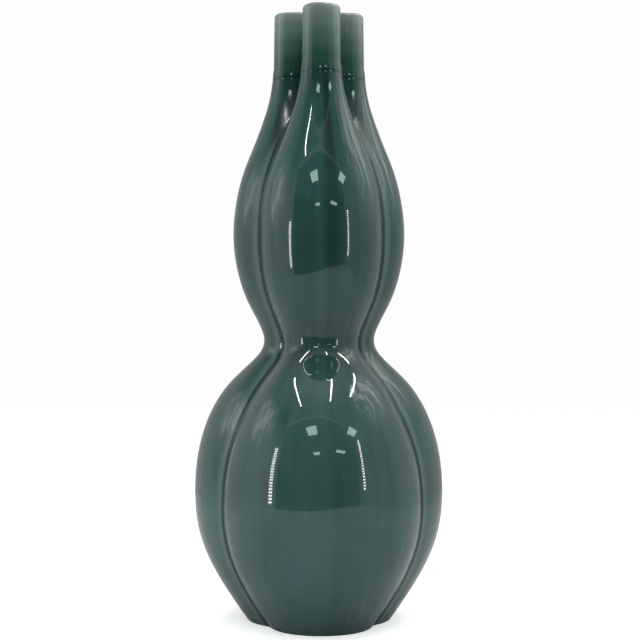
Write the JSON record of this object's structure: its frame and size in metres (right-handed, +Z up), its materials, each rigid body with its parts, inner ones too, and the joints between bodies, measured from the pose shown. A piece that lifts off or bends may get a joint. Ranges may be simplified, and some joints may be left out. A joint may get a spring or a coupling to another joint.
{
  "type": "double gourd vase",
  "caption": "Lobed double gourd flower vase: stacked melon-like bulbs joined at a tight waist, each lobe rising to its own narrow stem spout, over a recessed foot.",
  "frame": {"origin": "on the vase's axis, in the plane that the foot stands on", "axes": "+Z up along the axis; -Y to the front lobe, which faces the viewer; +X to the viewer's right"},
  "size_m": [0.1886, 0.1834, 0.46],
  "materials": {
    "green_glaze": "glossy deep green glaze, wiped off the standing face"
  },
  "bodies": {
    "root": {"foot_ring": "green_glaze", "base_slab": "green_glaze", "lower_bulb_bowl": "green_glaze", "lower_bulb_shoulder": "green_glaze", "upper_bulb_bowl": "green_glaze", "upper_bulb_necks": "green_glaze", "front_spout": "green_glaze", "right_spout": "green_glaze", "left_spout": "green_glaze", "front_collar": "green_glaze", "right_collar": "green_glaze", "left_collar": "green_glaze"}
  },
  "joints": []
}
